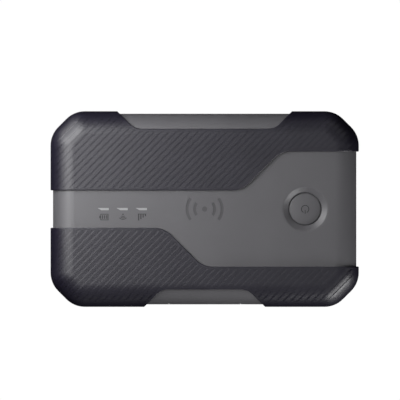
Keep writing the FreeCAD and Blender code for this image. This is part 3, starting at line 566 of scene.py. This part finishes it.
def make_finishes():
    """One material for each of the record's slots, one for the printed icons and the painted shade in the
    button's symbol, and one for the painted shade in the face's glyph.
    """
    return {
        # the case and the bumpers get a painted highlight along their edges, the seventh argument
        "case_plastic": moulded(
            "case_plastic", CASE_GREY, 0.46, 0.22 * MM, 0.006 * MM, 0.03, 0.25, Specular_IOR_Level=0.75
        ),
        "bumper_rubber": moulded(
            "bumper_rubber", RUBBER_BLACK, 0.44, 0.3 * MM, 0.004 * MM, 0.06, 0.35, Specular_IOR_Level=0.9
        ),
        "seal_rubber": moulded("seal_rubber", (0.02, 0.02, 0.021), 0.6, 0.3 * MM, 0.01 * MM),
        "silicone": moulded(
            "silicone", (0.2, 0.205, 0.21), 0.55, 0.4 * MM, 0.008 * MM, Subsurface_Weight=0.1
        ),
        "nylon": moulded("nylon", (0.03, 0.03, 0.033), 0.5, 0.25 * MM, 0.008 * MM),
        "switch_black": moulded("switch_black", (0.02, 0.02, 0.02), 0.4, 0.2 * MM, 0.004 * MM),
        "chip": moulded("chip", (0.015, 0.015, 0.016), 0.55, 0.12 * MM, 0.006 * MM),
        "thermal_pad": moulded("thermal_pad", (0.16, 0.3, 0.42), 0.7, 0.5 * MM, 0.03 * MM),
        "frame_alloy": moulded("frame_alloy", (0.42, 0.43, 0.45), 0.5, 0.3 * MM, 0.02 * MM, Metallic=1.0),
        "screw_steel": brushed("screw_steel", (0.2, 0.2, 0.205), 0.35, 0.08 * MM, (1, 8, 1)),
        "stamped_steel": brushed("stamped_steel", (0.6, 0.6, 0.61), 0.32, 0.1 * MM, (1, 12, 1)),
        "sheet_alloy": brushed("sheet_alloy", (0.72, 0.73, 0.74), 0.3, 0.1 * MM, (14, 1, 1)),
        "brass": brushed("brass", (0.7, 0.5, 0.2), 0.3, 0.08 * MM, (1, 1, 10)),
        "gold_contact": brushed("gold_contact", (0.85, 0.6, 0.24), 0.22, 0.05 * MM, (1, 6, 1)),
        "light_guide": lens_finish("light_guide", (0.37, 0.375, 0.38), 0.07),
        "led": lens_finish("led", (0.9, 0.9, 0.78), 0.2),
        "board": board_finish(),
        "flex_film": film_finish(),
        "foam": foam_finish(),
        "label": label_finish(),
        "cell_wrap": wrap_finish(),
        # icon ink: the printed icons' own colour, and painted shade in the button's debossed symbol;
        # glyph shade: painted shade on the floor of the face's debossed glyph
        "icon_ink_and_painted_shade": moulded("icon_ink_and_painted_shade", (0.036, 0.036, 0.038), 0.5, 0.1 * MM, 0.003 * MM),
        "glyph_painted_shade": moulded("glyph_painted_shade", (0.1, 0.098, 0.105), 0.5, 0.1 * MM, 0.003 * MM),
    }


def dress(piece, material):
    """Puts one material on the whole of a piece."""
    if not piece.material_slots:
        piece.data.materials.append(material)
    for held in piece.material_slots:
        held.material = material


# ---- stage --------------------------------------------------------------------------------------
FRAME_WIDTH = 168.7 * MM  # what the camera sees across the object's widest level
CAMERA_XY = (-1.97 * MM, 3.82 * MM)
LAMP_HEIGHT = 20 * MM  # of the dome's middle
AIM = (0, 0, 12 * MM)
OVERHEAD = (0, 0, 0.52)


def softbox(name, place, target, size, radiance, shape="RECTANGLE"):
    """A flat lamp that the camera doesn't see, facing a target."""
    lamp = bpy.data.lights.new(name, "AREA")
    lamp.shape = shape
    lamp.size, lamp.size_y = size
    area = size[0] * size[1] * (math.pi / 4 if shape == "ELLIPSE" else 1)
    lamp.energy = radiance * math.pi * area
    holder = bpy.data.objects.new(name, lamp)
    holder.location = place
    holder.rotation_euler = (Vector(target) - Vector(place)).to_track_quat("-Z", "Y").to_euler()
    holder.visible_camera = False
    bpy.context.scene.collection.objects.link(holder)


def on_dome(azimuth, from_vertical, distance):
    """A lamp's place: degrees from +X in plan, degrees from straight up, and metres from the object."""
    turn, lean = math.radians(azimuth), math.radians(from_vertical)
    out = distance * math.sin(lean)
    return (out * math.cos(turn), out * math.sin(turn), distance * math.cos(lean) + LAMP_HEIGHT)


def make_lights():
    """Each lamp's size is in metres, and its radiance in watts per steradian and square metre."""
    softbox("key", on_dome(140, 55, 0.18), AIM, (0.12, 0.12), 3.95)
    softbox("key_side", on_dome(165, 38, 0.2), AIM, (0.14, 0.14), 3.03)
    softbox("side_glow", on_dome(160, 65, 0.3), AIM, (0.09, 0.09), 5.5)
    softbox("rim", on_dome(-45, 80, 0.35), AIM, (0.3, 0.08), 9.24)
    softbox("corner", on_dome(135, 88, 0.35), AIM, (0.16, 0.03), 12.4)
    softbox("low_fill", on_dome(60, 70, 0.35), AIM, (0.3, 0.1), 0.44)
    softbox("front_fill", on_dome(-100, 86, 0.5), AIM, (0.6, 0.12), 0.3)
    softbox("top", OVERHEAD, AIM, (0.4, 0.4), 0.38, "ELLIPSE")
    softbox("fill", OVERHEAD, AIM, (1.75, 1.75), 0.15, "ELLIPSE")


def make_floor():
    """A plain white floor. It neither lights the object nor shows in its reflections."""
    g = Graph("floor")
    g.nodes.remove(g.shader)
    tone = g.span(g.noise(0.4, 2.0), 1.0, 1.02)
    glow = g.add("ShaderNodeEmission", {"Color": (1, 1, 1, 1), "Strength": tone})
    g.links.new(glow.outputs[0], g.nodes["Material Output"].inputs["Surface"])
    bpy.ops.mesh.primitive_plane_add(size=8.0, location=(0, 0, 0))
    floor = bpy.context.object
    floor.name = "floor"
    dress(floor, g.material)
    floor.visible_diffuse = False
    floor.visible_glossy = False


def make_world():
    """White to the camera only, so that the floor has no horizon."""
    world = bpy.data.worlds.new("studio")
    bpy.context.scene.world = world
    world.use_nodes = True
    world.node_tree.nodes["Background"].inputs["Color"].default_value = (1, 1, 1, 1)
    world.cycles_visibility.diffuse = False
    world.cycles_visibility.glossy = False


def make_camera():
    """Straight down through a very long lens. The object sits a little low and right of the middle."""
    camera = bpy.data.cameras.new("camera")
    camera.lens = 1000
    camera.sensor_width = 36
    holder = bpy.data.objects.new("camera", camera)
    widest = THICKNESS - ROLL_R
    distance = FRAME_WIDTH * camera.lens / camera.sensor_width
    holder.location = (*CAMERA_XY, widest + distance)
    bpy.context.scene.collection.objects.link(holder)
    bpy.context.scene.camera = holder


# ---- the scene ----------------------------------------------------------------------------------
def main():
    """Gives every CAD node its material, adds the ridges and the marks, and sets the stage."""
    finishes = make_finishes()
    slots = {n["node"]: n["material_slot"] for n in frame["record"]["subparts"]}
    for node, piece in frame["nodes"].items():
        dress(piece, finishes[slots[node]])
    for node in BUMPERS:
        dress(ribbed(node), finishes["bumper_rubber"])
    for x, draw in zip(ICON_X, (battery_icon, wifi_icon, bars_icon)):
        dress(icon(draw, (x, ICON_Y, CASE_TOP)), finishes["icon_ink_and_painted_shade"])
    # the dark slabs in the debossed glyphs are painted shade, standing in for the shade in their channels
    dress(icon(signal_painted_shade, (0, 0, CASE_TOP - MARK_DEPTH)), finishes["glyph_painted_shade"])
    dress(icon(power_painted_shade, BUTTON_MARK, "power_button"), finishes["icon_ink_and_painted_shade"])
    make_floor()
    make_world()
    make_lights()
    make_camera()
    bpy.context.scene.view_settings.view_transform = "Standard"


main()
